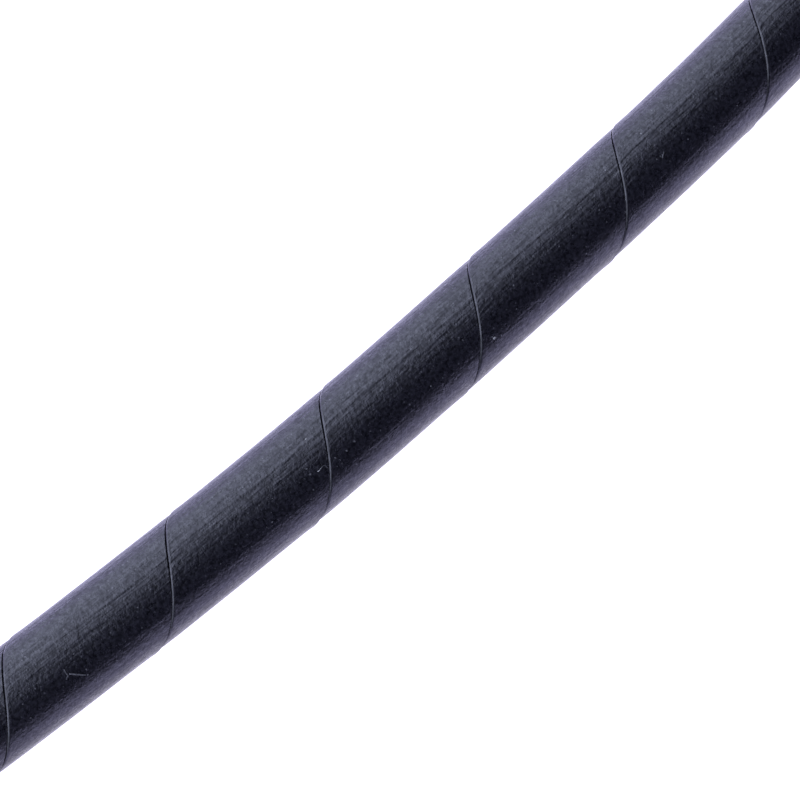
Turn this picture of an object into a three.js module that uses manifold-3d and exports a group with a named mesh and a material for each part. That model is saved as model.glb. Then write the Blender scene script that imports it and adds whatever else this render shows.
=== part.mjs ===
// A metre of spiral cable wrap, lying in the gentle arc that it keeps from its coil.
//
// The real thing is one piece: a round polyethylene tube slit right through its wall along a
// left-handed helix, so that it is a single band wound edge to edge, and cut square at both ends.
// Cables go in through the slit and lie in the bore.
//
// Millimetres, +Z up. The arc lies level and opens towards +Y. The origin is at the middle of
// its footprint, on the surface that it rests on.

import * as THREE from "three";
import { mergeVertices } from "three/addons/utils/BufferGeometryUtils.js";
import Module from "manifold-3d";

// The tube
const OUTER_DIAMETER = 6;
const WALL = 1;
const LENGTH = 1000; // along the centreline, as sold by the metre
const BEND_RADIUS = 455; // of the centreline

// The slit
const PITCH = 12.5; // from one turn of the slit to the next, along the tube
const SLIT_WIDTH = 0.12; // left open between two turns, measured along the tube

// The flats that stand for the round outside and for the round bore. A multiple of four puts
// one flat underneath, and all turns rest on that one level line.
const SIDES = 12;

const wasm = await Module();
wasm.setup();

// The point at a distance along the tube from its middle, at an angle around the tube (0 faces
// the centre of the arc, a quarter turn faces up) and at a radius from the centreline. The
// centre of the arc is at the origin.
function tubePoint(along, around, radius) {
  const bend = along / BEND_RADIUS;
  const fromCentre = BEND_RADIUS - radius * Math.cos(around);
  return new THREE.Vector3(
    fromCentre * Math.sin(bend),
    -fromCentre * Math.cos(bend),
    radius * Math.sin(around),
  );
}

// The band flat and straight: x counts turns from the middle of the tube, y runs across the
// band and z inwards through the wall, both from -1/2 to 1/2.
function flatBand() {
  // One more turn than fits at each end, so that each end plane cuts a whole ring of band
  const turns = LENGTH / PITCH + 2;
  // An odd number of steps puts the corners half a step away from the middle of the tube
  const steps = 2 * Math.ceil((turns * SIDES) / 2) + 1;
  return new THREE.BoxGeometry(steps / SIDES, 1, 1, steps, 1, 1);
}

// Winds the flat band into the curved tube. The corners lie a little outside the round tube,
// so that the middles of the flats lie on it.
function wound(band) {
  const corner = band.getAttribute("position");
  const middleRadius = (OUTER_DIAMETER - WALL) / 2;
  for (let i = 0; i < corner.count; i++) {
    const turn = corner.getX(i);
    const along = turn * PITCH + corner.getY(i) * (PITCH - SLIT_WIDTH);
    const flatRadius = middleRadius - corner.getZ(i) * WALL;
    const cornerRadius = flatRadius / Math.cos(Math.PI / SIDES);
    // Backwards as it goes along, which winds the band left-handed
    const around = -2 * Math.PI * turn;
    corner.setXYZ(i, ...tubePoint(along, around, cornerRadius));
  }
  return band;
}

// A block that takes away what lies past the square cut at one end: side is -1 or 1.
function endBlock(side) {
  const depth = 2 * PITCH;
  const width = 2 * OUTER_DIAMETER;
  const block = new THREE.BoxGeometry(depth, width, width);
  block.translate((side * depth) / 2, 0, 0);
  block.rotateZ((side * LENGTH) / 2 / BEND_RADIUS);
  return block.translate(...tubePoint((side * LENGTH) / 2, 0, 0));
}

// A closed geometry as a solid that can be cut.
function solidOf(geometry) {
  geometry.deleteAttribute("normal");
  geometry.deleteAttribute("uv");
  const merged = mergeVertices(geometry);
  return new wasm.Manifold(
    new wasm.Mesh({
      numProp: 3,
      vertProperties: merged.getAttribute("position").array,
      triVerts: new Uint32Array(merged.index.array),
    }),
  );
}

// A solid as a geometry again.
function geometryOf(solid) {
  const mesh = solid.getMesh();
  const geometry = new THREE.BufferGeometry();
  geometry.setAttribute("position", new THREE.BufferAttribute(mesh.vertProperties, 3));
  geometry.setIndex(new THREE.BufferAttribute(mesh.triVerts, 1));
  return geometry;
}

function spiralWrap() {
  const band = solidOf(wound(flatBand()));
  const cut = band.subtract(solidOf(endBlock(-1))).subtract(solidOf(endBlock(1)));
  const blackPolyethylene = new THREE.MeshStandardMaterial({
    color: 0x1b1b22,
    roughness: 0.5,
    metalness: 0,
  });
  const mesh = new THREE.Mesh(geometryOf(cut), blackPolyethylene);
  mesh.name = "spiral_wrap";
  return mesh;
}

// Puts the middle of a mesh's footprint on the origin and its underside at z = 0.
function stoodOnOrigin(mesh) {
  const box = new THREE.Box3().setFromObject(mesh);
  const middle = box.getCenter(new THREE.Vector3());
  mesh.position.set(-middle.x, -middle.y, -box.min.z);
  return mesh;
}

const part = new THREE.Group();
part.add(stoodOnOrigin(spiralWrap()));

export default part;
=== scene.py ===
# A metre of black spiral cable wrap lying on a white ground, as a close photograph shows it from
# above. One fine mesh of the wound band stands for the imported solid, with dust and lint on it.
#
# Metres, +Z up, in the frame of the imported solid.

import math

import bmesh
import bpy
import numpy as np
from mathutils import Matrix, Vector
from mathutils.bvhtree import BVHTree


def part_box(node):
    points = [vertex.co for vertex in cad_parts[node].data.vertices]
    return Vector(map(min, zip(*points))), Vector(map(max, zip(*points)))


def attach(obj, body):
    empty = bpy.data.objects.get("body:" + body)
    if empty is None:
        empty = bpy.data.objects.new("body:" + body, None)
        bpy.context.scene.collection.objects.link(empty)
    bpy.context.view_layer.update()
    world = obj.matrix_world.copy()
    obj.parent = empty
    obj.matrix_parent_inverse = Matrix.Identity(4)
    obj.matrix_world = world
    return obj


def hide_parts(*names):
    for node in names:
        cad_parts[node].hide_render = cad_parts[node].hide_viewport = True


MM = 0.001

# The tube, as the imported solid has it
OUTER_RADIUS = 3 * MM
WALL = 1 * MM
LENGTH = 1000 * MM
BEND_RADIUS = 455 * MM
PITCH = 12.5 * MM

# The slit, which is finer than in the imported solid. On the outside and on the inside of the bend
# it gapes by so many times its width more, and a higher power keeps that to a narrower stretch
SLIT_WIDTH = 0.026 * MM
OUTSIDE_GAPE = 5.6
OUTSIDE_GAPE_POWER = 5
INSIDE_GAPE = 3.2
INSIDE_GAPE_POWER = 4

# The knife leaves the start edge of the band bevelled and the end edge nearly sharp: insets
# from each edge along the tube and depths under the outside, in mm, from the foot outwards
START_EDGE = ((0, 0.2), (0.010, 0.09), (0.025, 0.068), (0.14, 0.007), (0.165, 0.001), (0.24, 0))
END_EDGE = ((0, 0.03), (0.006, 0.008), (0.02, 0), (0.2, 0))
BEVEL_FADE = (0.14, 0.24)  # the insets between which the bevel turns into the plain outside
FLANK = ((0.33, 0), (0.55, 0), (1.0, 0), (1.9, 0))  # further in from both edges
BORE_CHAMFER = 0.06  # mm, on both edges

# On the outside of the bend the bevel is slighter, by this share of its depth
BEVEL_LOSS = 0.7
BEVEL_LOSS_POWER = 6

# How far along the tube the six turns of the slit in the photograph are out of place, in mm,
# low and high on the side that shows
SLIT_DRIFT = (
    (0.98, 0.5),
    (0.45, 0.23),
    (0.31, -0.13),
    (-0.08, -0.28),
    (-0.17, -0.27),
    (-0.05, -0.19),
)
FIRST_SLIT_TURN = -2.95  # where the first is low, counted in turns from the tube's middle
SHOWN_TURN = 0.32  # how much of each turn shows
DRIFT_FADE = 3  # the turns before the first and after the last over which the drift dies out

# The edges of the band don't lie quite round. On the inside of the bend the start edge stands
# proud and the end edge sinks, and on the outside the other way about. The end edge has a burr
LIP_HEIGHT = 0.05 * MM
LIP_REACH = 0.5 * MM  # in from the edge
LIP_ANGLE = math.radians(25)  # above the inside of the bend, where the start edge is proudest
LIP_POWER = 5
BURR_HEIGHT = 0.005 * MM
BURR_REACH = 0.12 * MM

# How far the tube weaves towards the outside of the bend, over what length, and a place along
# the tube where it does so most
WEAVE = 0.05 * MM
WEAVE_LENGTH = 37 * MM
WEAVE_PEAK = -13.3 * MM

# Small random swings along the tube: of the slit's place, of its width and of the lips' height
# as shares of these, and of the tube to the side
SLIT_WANDER = {"seed": 11, "wavelength": 31 * MM, "size": 0.05 * MM}
WIDTH_WANDER = {"seed": 12, "wavelength": 17 * MM, "size": 0.08}
LIP_WANDER = {"seed": 13, "wavelength": 23 * MM, "size": 0.15}
SIDE_WANDER = {"seed": 14, "wavelength": 27 * MM, "size": 0.008 * MM}

# The lines along the outside slew by an angle from each edge of the band to the other, and the
# knife drags them round at the edges
GRAIN_SLEW = math.radians(4.3)
START_DRAG = 0.09  # radians
END_DRAG = -0.02
DRAG_REACH = 0.3 * MM

# How finely the band is meshed, and the angle from which an edge of the mesh looks sharp
STEPS_PER_TURN = 48
SHARP = math.radians(30)

# Relief of the outside in mm: coarse and fine streaks along the tube, and a speckle
COARSE_STREAKS = 0.056
FINE_STREAKS = 0.025
SPECKLE = 0.041
STREAK_LENGTH = 9  # times a streak's width
STREAK_FADE = 0.5  # what is left of the streaks on the outside of the bend
BEVEL_RELIEF = 0.15  # what is left of all relief on the bevel

# Die lines, which are ridges and grooves along the extruded outside: angle round the tube in
# degrees, half width in mm and height in mm
DIE_LINES = (
    (66.7, 0.14, 0.004),
    (76.5, 0.12, -0.004),
    (81.8, 0.18, 0.018),
    (89.8, 0.10, 0.003),
    (95.8, 0.15, 0.004),
    (100.4, 0.16, -0.004),
    (107.5, 0.12, -0.002),
)

# Colours of the plastic, which is mottled between two, and of the dust on it
DARK_PLASTIC = (0.0003, 0.0003, 0.0008, 1)
PALE_PLASTIC = (0.0091, 0.0089, 0.0116, 1)
DUST = (0.076, 0.076, 0.078, 1)
DUST_DENSITY = 3.8  # places for a dot in a millimetre
DUST_SIZE = 0.20  # the largest dot's radius, as a share of the room for one
DUST_POWER = 2.2  # a higher power leaves fewer dots bright

# Lint on the wrap, and the two colours that each kind of it varies between
LINT_COLOURS = {
    "dull": ((0.012, 0.012, 0.014, 1), (0.031, 0.031, 0.033, 1)),
    "grey": ((0.022, 0.022, 0.024, 1), (0.053, 0.053, 0.055, 1)),
    "white": ((0.067, 0.067, 0.067, 1), (0.205, 0.205, 0.198, 1)),
}
# Fibres: colour, thickness in mm, how far the middle bows off the surface in mm, and the pixels
# of the picture that it runs through
FIBRES = (
    ("grey", 0.10, 0.03, ((68.6, 673.6), (76.5, 674.2), (86.0, 674.7))),
    ("dull", 0.08, 0.02, ((63.6, 669.3), (65.4, 672.1), (67.9, 675.7), (66.0, 679.6))),
    ("white", 0.05, 0.02, ((317.5, 471.8), (319.6, 470.0), (321.2, 468.0))),
    ("dull", 0.05, 0.02, ((321.2, 468.0), (323.2, 465.4), (325.7, 465.7), (327.5, 468.2))),
    ("dull", 0.09, 0.02, ((663.8, 151.9), (662.8, 155.1), (662.1, 158.1))),
)
FIBRE_SIDES = 8
FIBRE_STEPS = 6  # from one pixel to the next
FIBRE_ROUNDING = 0.55  # how far the line is smoothed, as a share of the way between pixels
FIBRE_SEAT = 0.9  # the middle's height over the surface, in radii
FIBRE_TIP = 0.55  # the thickness of the tips, as a share
# Flecks: colour, length and width in mm, and pixel
FLECKS = (
    ("white", 0.23, 0.16, (494.6, 338.0)),
    ("white", 0.11, 0.09, (306.0, 439.0)),
    ("dull", 0.17, 0.12, (306.8, 468.9)),
    ("dull", 0.18, 0.13, (310.4, 474.3)),
    ("dull", 0.17, 0.12, (354.6, 441.4)),
    ("dull", 0.15, 0.12, (346.8, 450.6)),
    ("dull", 0.12, 0.09, (340.0, 460.0)),
    ("dull", 0.17, 0.11, (335.4, 457.9)),
)
FLECK_SEED = 31
FLECK_FLATNESS = 0.6  # height as a share of width
FLECK_UNEVENNESS = 0.12  # how far its surface rises and sinks, as a share

# The photograph's view
PICTURE_SIZE = 800
CAMERA_AZIMUTH = math.radians(-42.96)
CAMERA_ELEVATION = math.radians(71.3)
CAMERA_DISTANCE = 234.2 * MM
CAMERA_FOCAL = 3850  # pixels
CAMERA_ALONG = -3.23 * MM  # the place along the tube that the camera looks at
CAMERA_UP = -0.857 * MM  # and how far from it the camera is moved towards the picture's top
SENSOR_WIDTH = 36  # in millimetres, as Blender counts it

# The ground, which glows as a light box does, and the light round it
GROUND_SIZE = 40
FOOT_GLOW = (1.05, 1.0, 1.3, 1)
OPEN_GLOW = (1.05, 1.0, 1.65, 1)
LIGHT_SIDE = (-0.95, 1.0, 0.0)
DARK_SKY = (0.02, 0.02, 0.05, 1)
BRIGHT_SKY = (4.05, 4.35, 5.80, 1)

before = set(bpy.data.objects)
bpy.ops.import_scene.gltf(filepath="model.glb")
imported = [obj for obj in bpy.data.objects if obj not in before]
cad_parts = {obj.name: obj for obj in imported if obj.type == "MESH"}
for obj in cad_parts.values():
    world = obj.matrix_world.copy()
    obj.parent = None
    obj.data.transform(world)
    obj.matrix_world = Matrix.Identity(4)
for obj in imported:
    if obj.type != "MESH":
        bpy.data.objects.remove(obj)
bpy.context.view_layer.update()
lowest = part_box("spiral_wrap")[0]
arc_centre_y = lowest.y + OUTER_RADIUS + BEND_RADIUS
axis_height = lowest.z + OUTER_RADIUS


# The shape of the band

def tube_point(along, around, radius):
    """Points at a distance along the tube from its middle, at an angle around it (0 faces the
    centre of the arc, a quarter turn faces up) and at a radius from its centreline."""
    bend = along / BEND_RADIUS
    from_centre = BEND_RADIUS - radius * np.cos(around)
    x = from_centre * np.sin(bend)
    y = arc_centre_y - from_centre * np.cos(bend)
    z = axis_height + radius * np.sin(around)
    return np.stack(np.broadcast_arrays(x, y, z), axis=-1)


def wander(place, seed, wavelength, size):
    """A smooth random curve along the tube, with swings about a wavelength apart."""
    rng = np.random.default_rng(seed)
    total = np.zeros_like(place)
    for share in (1.0, 0.63, 0.41, 0.27):
        total += np.sin(2 * np.pi * (place / (wavelength * share) + rng.random())) * share
    return size * total


def drift(slit_turn):
    """How far the slit is out of place where the photograph shows it, and near there."""
    low_turns = FIRST_SLIT_TURN + np.arange(len(SLIT_DRIFT))
    turns = np.stack([low_turns, low_turns + SHOWN_TURN], axis=1).ravel()
    turns = np.concatenate([[turns[0] - DRIFT_FADE], turns, [turns[-1] + DRIFT_FADE]])
    return np.interp(slit_turn, turns, [0, *np.ravel(SLIT_DRIFT), 0]) * MM


def section():
    """The band's section, from the start edge to the end edge over the outside and back through
    the bore: which edge a point goes with (-1 start, 1 end), its distance in from that edge
    along the tube, and its depth under the outside."""
    wall = WALL / MM
    points = [(-1, inset, depth) for inset, depth in START_EDGE + FLANK]
    points.append((-1, (PITCH - SLIT_WIDTH) / MM / 2, 0))
    points += [(1, inset, depth) for inset, depth in reversed(END_EDGE + FLANK)]
    points += [(1, 0, wall - BORE_CHAMFER), (1, BORE_CHAMFER, wall)]
    points += [(-1, BORE_CHAMFER, wall), (-1, 0, wall - BORE_CHAMFER)]
    return np.array(points) * (1, MM, MM)


def band_faces(rings, count):
    """Quads between rings of so many points, and a cap on the first ring and on the last."""
    ring_start = np.arange(rings - 1)[:, None] * count
    corner = np.arange(count)
    following = (corner + 1) % count
    quads = np.stack(
        np.broadcast_arrays(
            ring_start + corner,
            ring_start + following,
            ring_start + count + following,
            ring_start + count + corner,
        ),
        axis=-1,
    )
    first_cap = list(range(count))[::-1]
    last_cap = list(range((rings - 1) * count, rings * count))
    return quads.reshape(-1, 4).tolist() + [first_cap, last_cap]


def store(mesh, name, kind, field, values):
    """Keeps a value at each point of a mesh, for its material."""
    attribute = mesh.attributes.new(name, kind, "POINT")
    attribute.data.foreach_set(field, values.reshape(-1).astype(np.float32))


def band_mesh():
    """The band as a closed mesh that runs a turn past each end plane of the tube."""
    turns = LENGTH / PITCH + 2
    rings = int(turns * STEPS_PER_TURN) + 1
    turn = (np.arange(rings) - (rings - 1) / 2)[:, None] / STEPS_PER_TURN
    side, inset, depth = section().T[:, None, :]
    around = -2 * np.pi * turn
    outward = np.maximum(0, -np.cos(around))
    inward = np.maximum(0, np.cos(around))

    # Each edge of the band follows the slit on its own side
    slit_turn = turn + side / 2
    slit_place = slit_turn * PITCH
    slit_middle = slit_place + drift(slit_turn) + wander(slit_place, **SLIT_WANDER)
    gape = 1 + OUTSIDE_GAPE * outward**OUTSIDE_GAPE_POWER + INSIDE_GAPE * inward**INSIDE_GAPE_POWER
    slit_half = SLIT_WIDTH / 2 * gape * (1 + wander(slit_place, **WIDTH_WANDER))
    along = slit_middle - side * (slit_half + inset)

    bevelled = (side < 0) & (depth < WALL / 2)
    depth = depth * np.where(bevelled, 1 - BEVEL_LOSS * outward**BEVEL_LOSS_POWER, 1)
    proud = -side * np.cos(around - LIP_ANGLE) ** LIP_POWER
    proud = proud * (1 + wander(slit_place, **LIP_WANDER))
    burr = np.where(side > 0, BURR_HEIGHT, 0) * np.exp(-inset / BURR_REACH)
    lip = LIP_HEIGHT * proud * np.exp(-inset / LIP_REACH) + burr
    points = tube_point(along, around, OUTER_RADIUS - depth + lip)

    weave = WEAVE * np.cos(2 * np.pi * (along - WEAVE_PEAK) / WEAVE_LENGTH)
    sideways = wander(along, **SIDE_WANDER) - weave
    bend = along / BEND_RADIUS
    points[..., 0] -= sideways * np.sin(bend)
    points[..., 1] += sideways * np.cos(bend)

    mesh = bpy.data.meshes.new("spiral_wrap_band")
    mesh.from_pydata(points.reshape(-1, 3), [], band_faces(*points.shape[:2]))

    # The place in the grain, in mm as if the tube were straight
    slew = GRAIN_SLEW * (along / PITCH - turn)
    drag = np.where(side < 0, START_DRAG, END_DRAG) * np.exp(-inset / DRAG_REACH)
    grain_around = around - slew - drag
    grain_x = (OUTER_RADIUS - depth) * np.cos(grain_around)
    grain_y = (OUTER_RADIUS - depth) * np.sin(grain_around)
    grain = np.stack(np.broadcast_arrays(grain_x, grain_y, along), axis=-1) / MM
    store(mesh, "grain", "FLOAT_VECTOR", "vector", grain)
    # How far a point lies on the bevel, and how plain the streaks are
    bevel = (side < 0) * np.interp(inset / MM, BEVEL_FADE, (1, 0))
    streaks = np.interp(outward, (0, 0.5), (1, STREAK_FADE))
    store(mesh, "bevel", "FLOAT", "value", np.broadcast_to(bevel, points.shape[:2]))
    store(mesh, "streaks", "FLOAT", "value", np.broadcast_to(streaks, points.shape[:2]))
    return mesh


def cut_square(mesh):
    """Cuts the band off square at both ends of the tube and closes the cuts."""
    bm = bmesh.new()
    bm.from_mesh(mesh)
    for side in (-1, 1):
        bend = side * LENGTH / 2 / BEND_RADIUS
        end = Vector(tube_point(side * LENGTH / 2, 0.0, 0.0))
        outward = Vector((math.cos(bend), math.sin(bend), 0)) * side
        cut = bmesh.ops.bisect_plane(
            bm,
            geom=bm.verts[:] + bm.edges[:] + bm.faces[:],
            dist=1e-7,
            plane_co=end,
            plane_no=outward,
            clear_outer=True,
        )
        rim = [e for e in cut["geom_cut"] if isinstance(e, bmesh.types.BMEdge)]
        bmesh.ops.triangle_fill(bm, use_beauty=True, edges=rim, normal=outward)
    bmesh.ops.recalc_face_normals(bm, faces=bm.faces[:])
    for face in bm.faces:
        face.smooth = True
    for edge in bm.edges:
        edge.smooth = edge.calc_face_angle(0) < SHARP
    bm.to_mesh(mesh)
    bm.free()


# Materials

class Graph:
    """Adds nodes to a material. An input is given by name or place, as a value or a socket."""

    def __init__(self, tree):
        self.tree = tree

    def feed(self, node, inputs):
        for name, value in inputs.items():
            if isinstance(value, bpy.types.NodeSocket):
                self.tree.links.new(value, node.inputs[name])
            else:
                node.inputs[name].default_value = value

    def add(self, kind, inputs, **settings):
        node = self.tree.nodes.new(kind)
        for name, value in settings.items():
            setattr(node, name, value)
        self.feed(node, inputs)
        return node

    def attribute(self, name):
        """The outputs of a value kept in the mesh."""
        return self.add("ShaderNodeAttribute", {}, attribute_name=name).outputs

    def coordinates(self, kind):
        return self.add("ShaderNodeTexCoord", {}).outputs[kind]

    def maths(self, operation, a, b=0.0):
        return self.add("ShaderNodeMath", {0: a, 1: b}, operation=operation).outputs[0]

    def vector_maths(self, operation, a, b=(0.0, 0.0, 0.0)):
        """The outputs of a sum, product or length of vectors."""
        return self.add("ShaderNodeVectorMath", {0: a, 1: b}, operation=operation).outputs

    def noise(self, vector, scale, detail=2.0, roughness=0.5):
        """Fractal noise from about 0 to 1."""
        node = self.add(
            "ShaderNodeTexNoise",
            {"Vector": vector, "Scale": scale, "Detail": detail, "Roughness": roughness},
        )
        return node.outputs["Fac"]

    def ranged(self, value, low, high, to_low=0.0, to_high=1.0):
        """Turns a range of values smoothly into another, and stays inside that."""
        node = self.add(
            "ShaderNodeMapRange",
            {"Value": value, 1: low, 2: high, 3: to_low, 4: to_high},
            interpolation_type="SMOOTHSTEP",
        )
        return node.outputs["Result"]

    def mixed(self, share, a, b):
        """A colour that is a where the share is 0 and b where it is 1."""
        node = self.add("ShaderNodeMix", {"Factor": share, "A": a, "B": b}, data_type="RGBA")
        return node.outputs["Result"]


def new_material(name):
    material = bpy.data.materials.new(name)
    material.use_nodes = True
    graph = Graph(material.node_tree)
    shader = material.node_tree.nodes["Principled BSDF"]
    return material, graph, shader


def relief(graph, grain):
    """The height of the plastic's outside, in mm: streaks and die lines along it, and speckle."""
    along_streaks = graph.vector_maths("MULTIPLY", grain, (1.0, 1.0, 1 / STREAK_LENGTH))[0]
    coarse = graph.noise(along_streaks, scale=2.6, detail=2.0, roughness=0.6)
    fine = graph.noise(along_streaks, scale=7.0, detail=1.0, roughness=0.6)
    speckle = graph.noise(grain, scale=4.5, detail=2.0, roughness=0.7)
    height = graph.maths("MULTIPLY", coarse, COARSE_STREAKS)
    height = graph.maths("ADD", height, graph.maths("MULTIPLY", fine, FINE_STREAKS))
    height = graph.maths("MULTIPLY", height, graph.attribute("streaks")["Fac"])
    height = graph.maths("ADD", height, graph.maths("MULTIPLY", speckle, SPECKLE))
    for degrees, half_width, ridge in DIE_LINES:
        angle = math.radians(degrees)
        tangent = (-math.sin(angle), math.cos(angle), 0.0)
        across = graph.vector_maths("DOT_PRODUCT", grain, tangent)["Value"]
        distance = graph.maths("ABSOLUTE", across)
        line = graph.ranged(distance, 0.0, half_width, to_low=ridge, to_high=0.0)
        height = graph.maths("ADD", height, line)
    return height


def dust_share(graph, grain):
    """Small dots, most of them faint."""
    cells = graph.add(
        "ShaderNodeTexVoronoi", {"Vector": grain, "Scale": DUST_DENSITY}, feature="F1"
    ).outputs
    chances = graph.add("ShaderNodeSeparateColor", {0: cells["Color"]}).outputs
    size = graph.ranged(chances[0], 0.1, 1.0, to_high=DUST_SIZE)
    dot = graph.maths("LESS_THAN", cells["Distance"], size)
    return graph.maths("MULTIPLY", dot, graph.maths("POWER", chances[1], DUST_POWER))


def polyethylene():
    """Black extruded plastic: fine lines along the tube, a faint grain and pale dust."""
    material, graph, shader = new_material("black_polyethylene")
    grain = graph.attribute("grain")["Vector"]
    bevel = graph.attribute("bevel")["Fac"]
    strength = graph.ranged(bevel, 0.0, 1.0, to_low=1.0, to_high=BEVEL_RELIEF)
    bump = graph.add(
        "ShaderNodeBump",
        {"Strength": strength, "Distance": MM, "Height": relief(graph, grain)},
    ).outputs[0]

    mottled = graph.noise(grain, scale=4.5, detail=3.0, roughness=0.75)
    mottled = graph.ranged(mottled, 0.3, 0.7)
    plain = graph.mixed(mottled, DARK_PLASTIC, PALE_PLASTIC)
    dusty = graph.mixed(dust_share(graph, grain), plain, DUST)

    # The gloss is uneven: in blotches, and a little with the mottling
    blotched = graph.noise(grain, scale=2.2, detail=3.0, roughness=0.65)
    roughness = graph.ranged(blotched, 0.3, 0.7, to_low=0.33, to_high=0.25)
    level = graph.maths(
        "ADD",
        graph.ranged(blotched, 0.3, 0.7, to_low=0.285, to_high=0.42),
        graph.ranged(mottled, 0.0, 1.0, to_low=-0.04, to_high=0.08),
    )
    finish = {
        "Base Color": dusty,
        "Normal": bump,
        "Roughness": roughness,
        "Specular IOR Level": level,
    }
    graph.feed(shader, finish)
    return material


def add_wrap():
    mesh = band_mesh()
    cut_square(mesh)
    # The raised lips would reach into the ground, so the band is lifted to rest on it
    corners = np.zeros(len(mesh.vertices) * 3, np.float32)
    mesh.vertices.foreach_get("co", corners)
    mesh.transform(Matrix.Translation((0, 0, lowest.z - corners[2::3].min())))
    mesh.materials.append(polyethylene())
    wrap = bpy.data.objects.new("spiral_wrap_band", mesh)
    bpy.context.collection.objects.link(wrap)
    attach(wrap, "root")
    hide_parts("spiral_wrap")
    return wrap


# Lint

def lint_material(name, dark, pale):
    """Dull cotton, uneven along its length."""
    material, graph, shader = new_material(name)
    place = graph.coordinates("Object")
    uneven = graph.ranged(graph.noise(place, scale=9 / MM), 0.35, 0.65)
    graph.feed(shader, {"Base Color": graph.mixed(uneven, dark, pale), "Roughness": 0.9})
    return material


def seen_at(camera, tree, pixel):
    """The place on the wrap that shows at a pixel, and the surface's outward direction there."""
    right, up, back = camera.rotation_quaternion.to_matrix().transposed()
    middle = PICTURE_SIZE / 2
    aim = right * (pixel[0] - middle) + up * (middle - pixel[1]) - back * CAMERA_FOCAL
    place, normal, _, _ = tree.ray_cast(camera.location, aim.normalized())
    return place, normal


def fibre_line(camera, tree, radius, bow, pixels):
    """Places along a smooth line through the pixels, just over the wrap, each with the
    surface's outward direction."""
    knots = np.array(pixels)
    stops = np.arange(len(knots))
    last = len(knots) - 1
    line = []
    for step in np.linspace(0, last, FIBRE_STEPS * last + 1):
        # Each pixel is weighed by how near it is along the thread
        weight = np.exp(-((stops - step) / FIBRE_ROUNDING) ** 2)
        pixel = weight @ knots / weight.sum()
        place, normal = seen_at(camera, tree, pixel)
        rise = math.sin(math.pi * step / last) * bow
        line.append((place + normal * (radius * FIBRE_SEAT + rise), normal))
    return line


def fibre_mesh(name, camera, tree, thickness, bow, pixels):
    """A closed thread that lies on the wrap and narrows at its tips."""
    radius = thickness / 2 * MM
    line = fibre_line(camera, tree, radius, bow * MM, pixels)
    last = len(line) - 1
    verts = []
    for i, (place, normal) in enumerate(line):
        run = (line[min(i + 1, last)][0] - line[max(i - 1, 0)][0]).normalized()
        across = run.cross(normal).normalized()
        high = across.cross(run)
        thick = radius * (FIBRE_TIP if i in (0, last) else 1)
        for k in range(FIBRE_SIDES):
            angle = 2 * math.pi * k / FIBRE_SIDES
            verts.append(place + (across * math.cos(angle) + high * math.sin(angle)) * thick)
    faces = [list(range(FIBRE_SIDES)), list(range(last * FIBRE_SIDES, len(verts)))[::-1]]
    for i in range(last):
        a = i * FIBRE_SIDES
        b = a + FIBRE_SIDES
        for k in range(FIBRE_SIDES):
            following = (k + 1) % FIBRE_SIDES
            faces.append((a + k, b + k, b + following, a + following))
    mesh = bpy.data.meshes.new(name)
    mesh.from_pydata(verts, [], faces)
    return mesh


def fleck_mesh(name, camera, tree, length, width, pixel, rng):
    """A small uneven crumb, half sunk in the wrap's surface."""
    place, normal = seen_at(camera, tree, pixel)
    bm = bmesh.new()
    bmesh.ops.create_icosphere(bm, subdivisions=2, radius=0.5)
    turn = normal.to_track_quat("Z", "Y").to_matrix()
    spin = Matrix.Rotation(rng.uniform(0, math.pi), 3, "Z")
    for vert in bm.verts:
        co = vert.co * (1 + rng.uniform(-FLECK_UNEVENNESS, FLECK_UNEVENNESS))
        shaped = Vector((co.x * length, co.y * width, co.z * width * FLECK_FLATNESS)) * MM
        vert.co = place + turn @ spin @ shaped
    mesh = bpy.data.meshes.new(name)
    bm.to_mesh(mesh)
    bm.free()
    return mesh


def add_lint(wrap, camera):
    tree = BVHTree.FromPolygons(
        [v.co for v in wrap.data.vertices], [p.vertices for p in wrap.data.polygons]
    )
    materials = {
        kind: lint_material(f"{kind}_lint", dark, pale)
        for kind, (dark, pale) in LINT_COLOURS.items()
    }
    rng = np.random.default_rng(FLECK_SEED)
    pieces = []
    for kind, thickness, bow, pixels in FIBRES:
        name = f"lint_fibre_{len(pieces)}"
        mesh = fibre_mesh(name, camera, tree, thickness, bow, pixels)
        pieces.append((name, kind, mesh))
    for kind, length, width, pixel in FLECKS:
        name = f"lint_fleck_{len(pieces)}"
        mesh = fleck_mesh(name, camera, tree, length, width, pixel, rng)
        pieces.append((name, kind, mesh))
    for name, kind, mesh in pieces:
        mesh.shade_smooth()
        mesh.materials.append(materials[kind])
        piece = bpy.data.objects.new(name, mesh)
        bpy.context.collection.objects.link(piece)
        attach(piece, "root")


# Ground, light and camera

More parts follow.
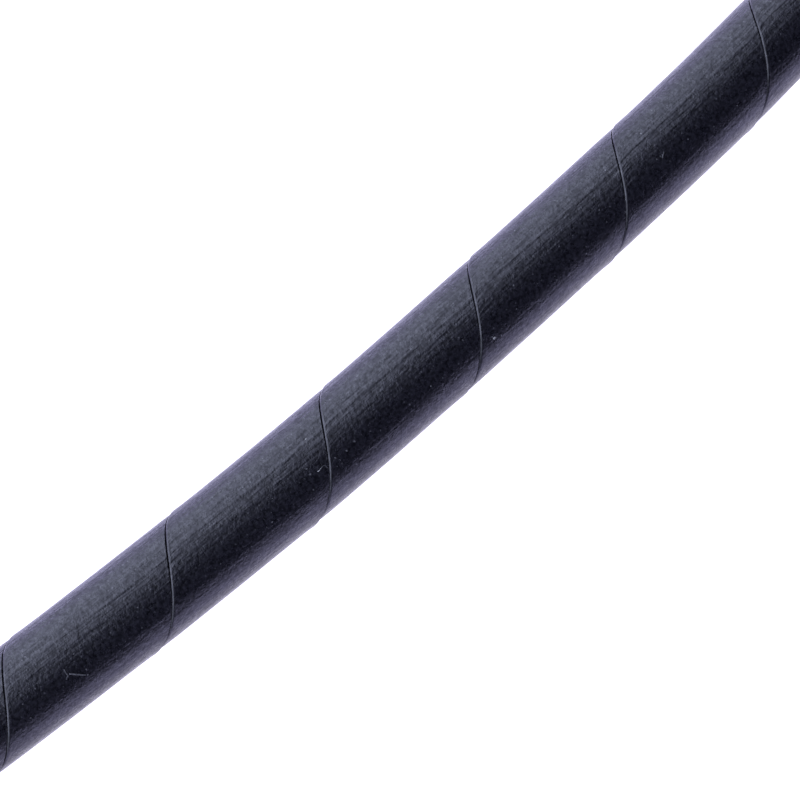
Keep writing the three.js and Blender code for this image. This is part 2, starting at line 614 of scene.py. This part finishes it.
def add_ground():
    bpy.ops.mesh.primitive_plane_add(size=GROUND_SIZE, location=(0, 0, 0))
    ground = bpy.context.object
    ground.name = "ground"
    material, graph, shader = new_material("white_ground")
    place = graph.coordinates("Object")
    shade = graph.ranged(graph.noise(place, scale=3.0), 0.3, 0.7, to_low=0.08, to_high=0.10)
    # It glows more close to the wrap than a few centimetres away, and less blue at its foot
    from_centre = graph.vector_maths("SUBTRACT", place, (0, arc_centre_y, 0))[0]
    reach = graph.vector_maths("LENGTH", from_centre)["Value"]
    distance = graph.maths("ABSOLUTE", graph.maths("SUBTRACT", reach, BEND_RADIUS))
    glow = graph.ranged(distance, 9 * MM, 26 * MM, to_low=1.31, to_high=0.93)
    tint = graph.mixed(graph.ranged(distance, 4 * MM, 9 * MM), FOOT_GLOW, OPEN_GLOW)
    finish = {
        "Base Color": shade,
        "Roughness": 0.9,
        "Emission Color": tint,
        "Emission Strength": glow,
    }
    graph.feed(shader, finish)
    ground.data.materials.append(material)


def add_world():
    """A studio with a broad soft light low on the side of the arc's centre and of its -X end,
    which falls off towards +X."""
    world = bpy.data.worlds.new("studio")
    world.use_nodes = True
    graph = Graph(world.node_tree)
    direction = graph.coordinates("Generated")
    towards = graph.vector_maths("DOT_PRODUCT", direction, LIGHT_SIDE)["Value"]
    sideways = graph.add("ShaderNodeSeparateXYZ", {0: direction}).outputs["X"]
    falloff = graph.ranged(sideways, -0.5, 0.9, to_low=1.0, to_high=0.45)
    brightness = graph.maths("MULTIPLY", graph.ranged(towards, -0.63, 0.90), falloff)
    background = world.node_tree.nodes["Background"]
    graph.feed(background, {"Color": graph.mixed(brightness, DARK_SKY, BRIGHT_SKY)})
    bpy.context.scene.world = world


def add_camera():
    azimuth = CAMERA_AZIMUTH
    flat = math.cos(CAMERA_ELEVATION)
    back = Vector((math.sin(azimuth) * flat, -math.cos(azimuth) * flat, math.sin(CAMERA_ELEVATION)))
    right = Vector((math.cos(azimuth), math.sin(azimuth), 0))
    up = back.cross(right)
    data = bpy.data.cameras.new("camera")
    data.sensor_width = SENSOR_WIDTH
    data.lens = SENSOR_WIDTH * CAMERA_FOCAL / PICTURE_SIZE
    data.clip_start = 0.01
    data.clip_end = 100
    camera = bpy.data.objects.new("camera", data)
    looked_at = Vector(tube_point(CAMERA_ALONG, 0.0, 0.0))
    camera.location = looked_at + back * CAMERA_DISTANCE + up * CAMERA_UP
    camera.rotation_mode = "QUATERNION"
    camera.rotation_quaternion = back.to_track_quat("Z", "Y")
    bpy.context.collection.objects.link(camera)
    bpy.context.scene.camera = camera
    return camera


camera = add_camera()
wrap = add_wrap()
add_lint(wrap, camera)
add_ground()
add_world()

bpy.context.scene.view_settings.view_transform = "Standard"
bpy.context.scene.view_settings.look = "None"
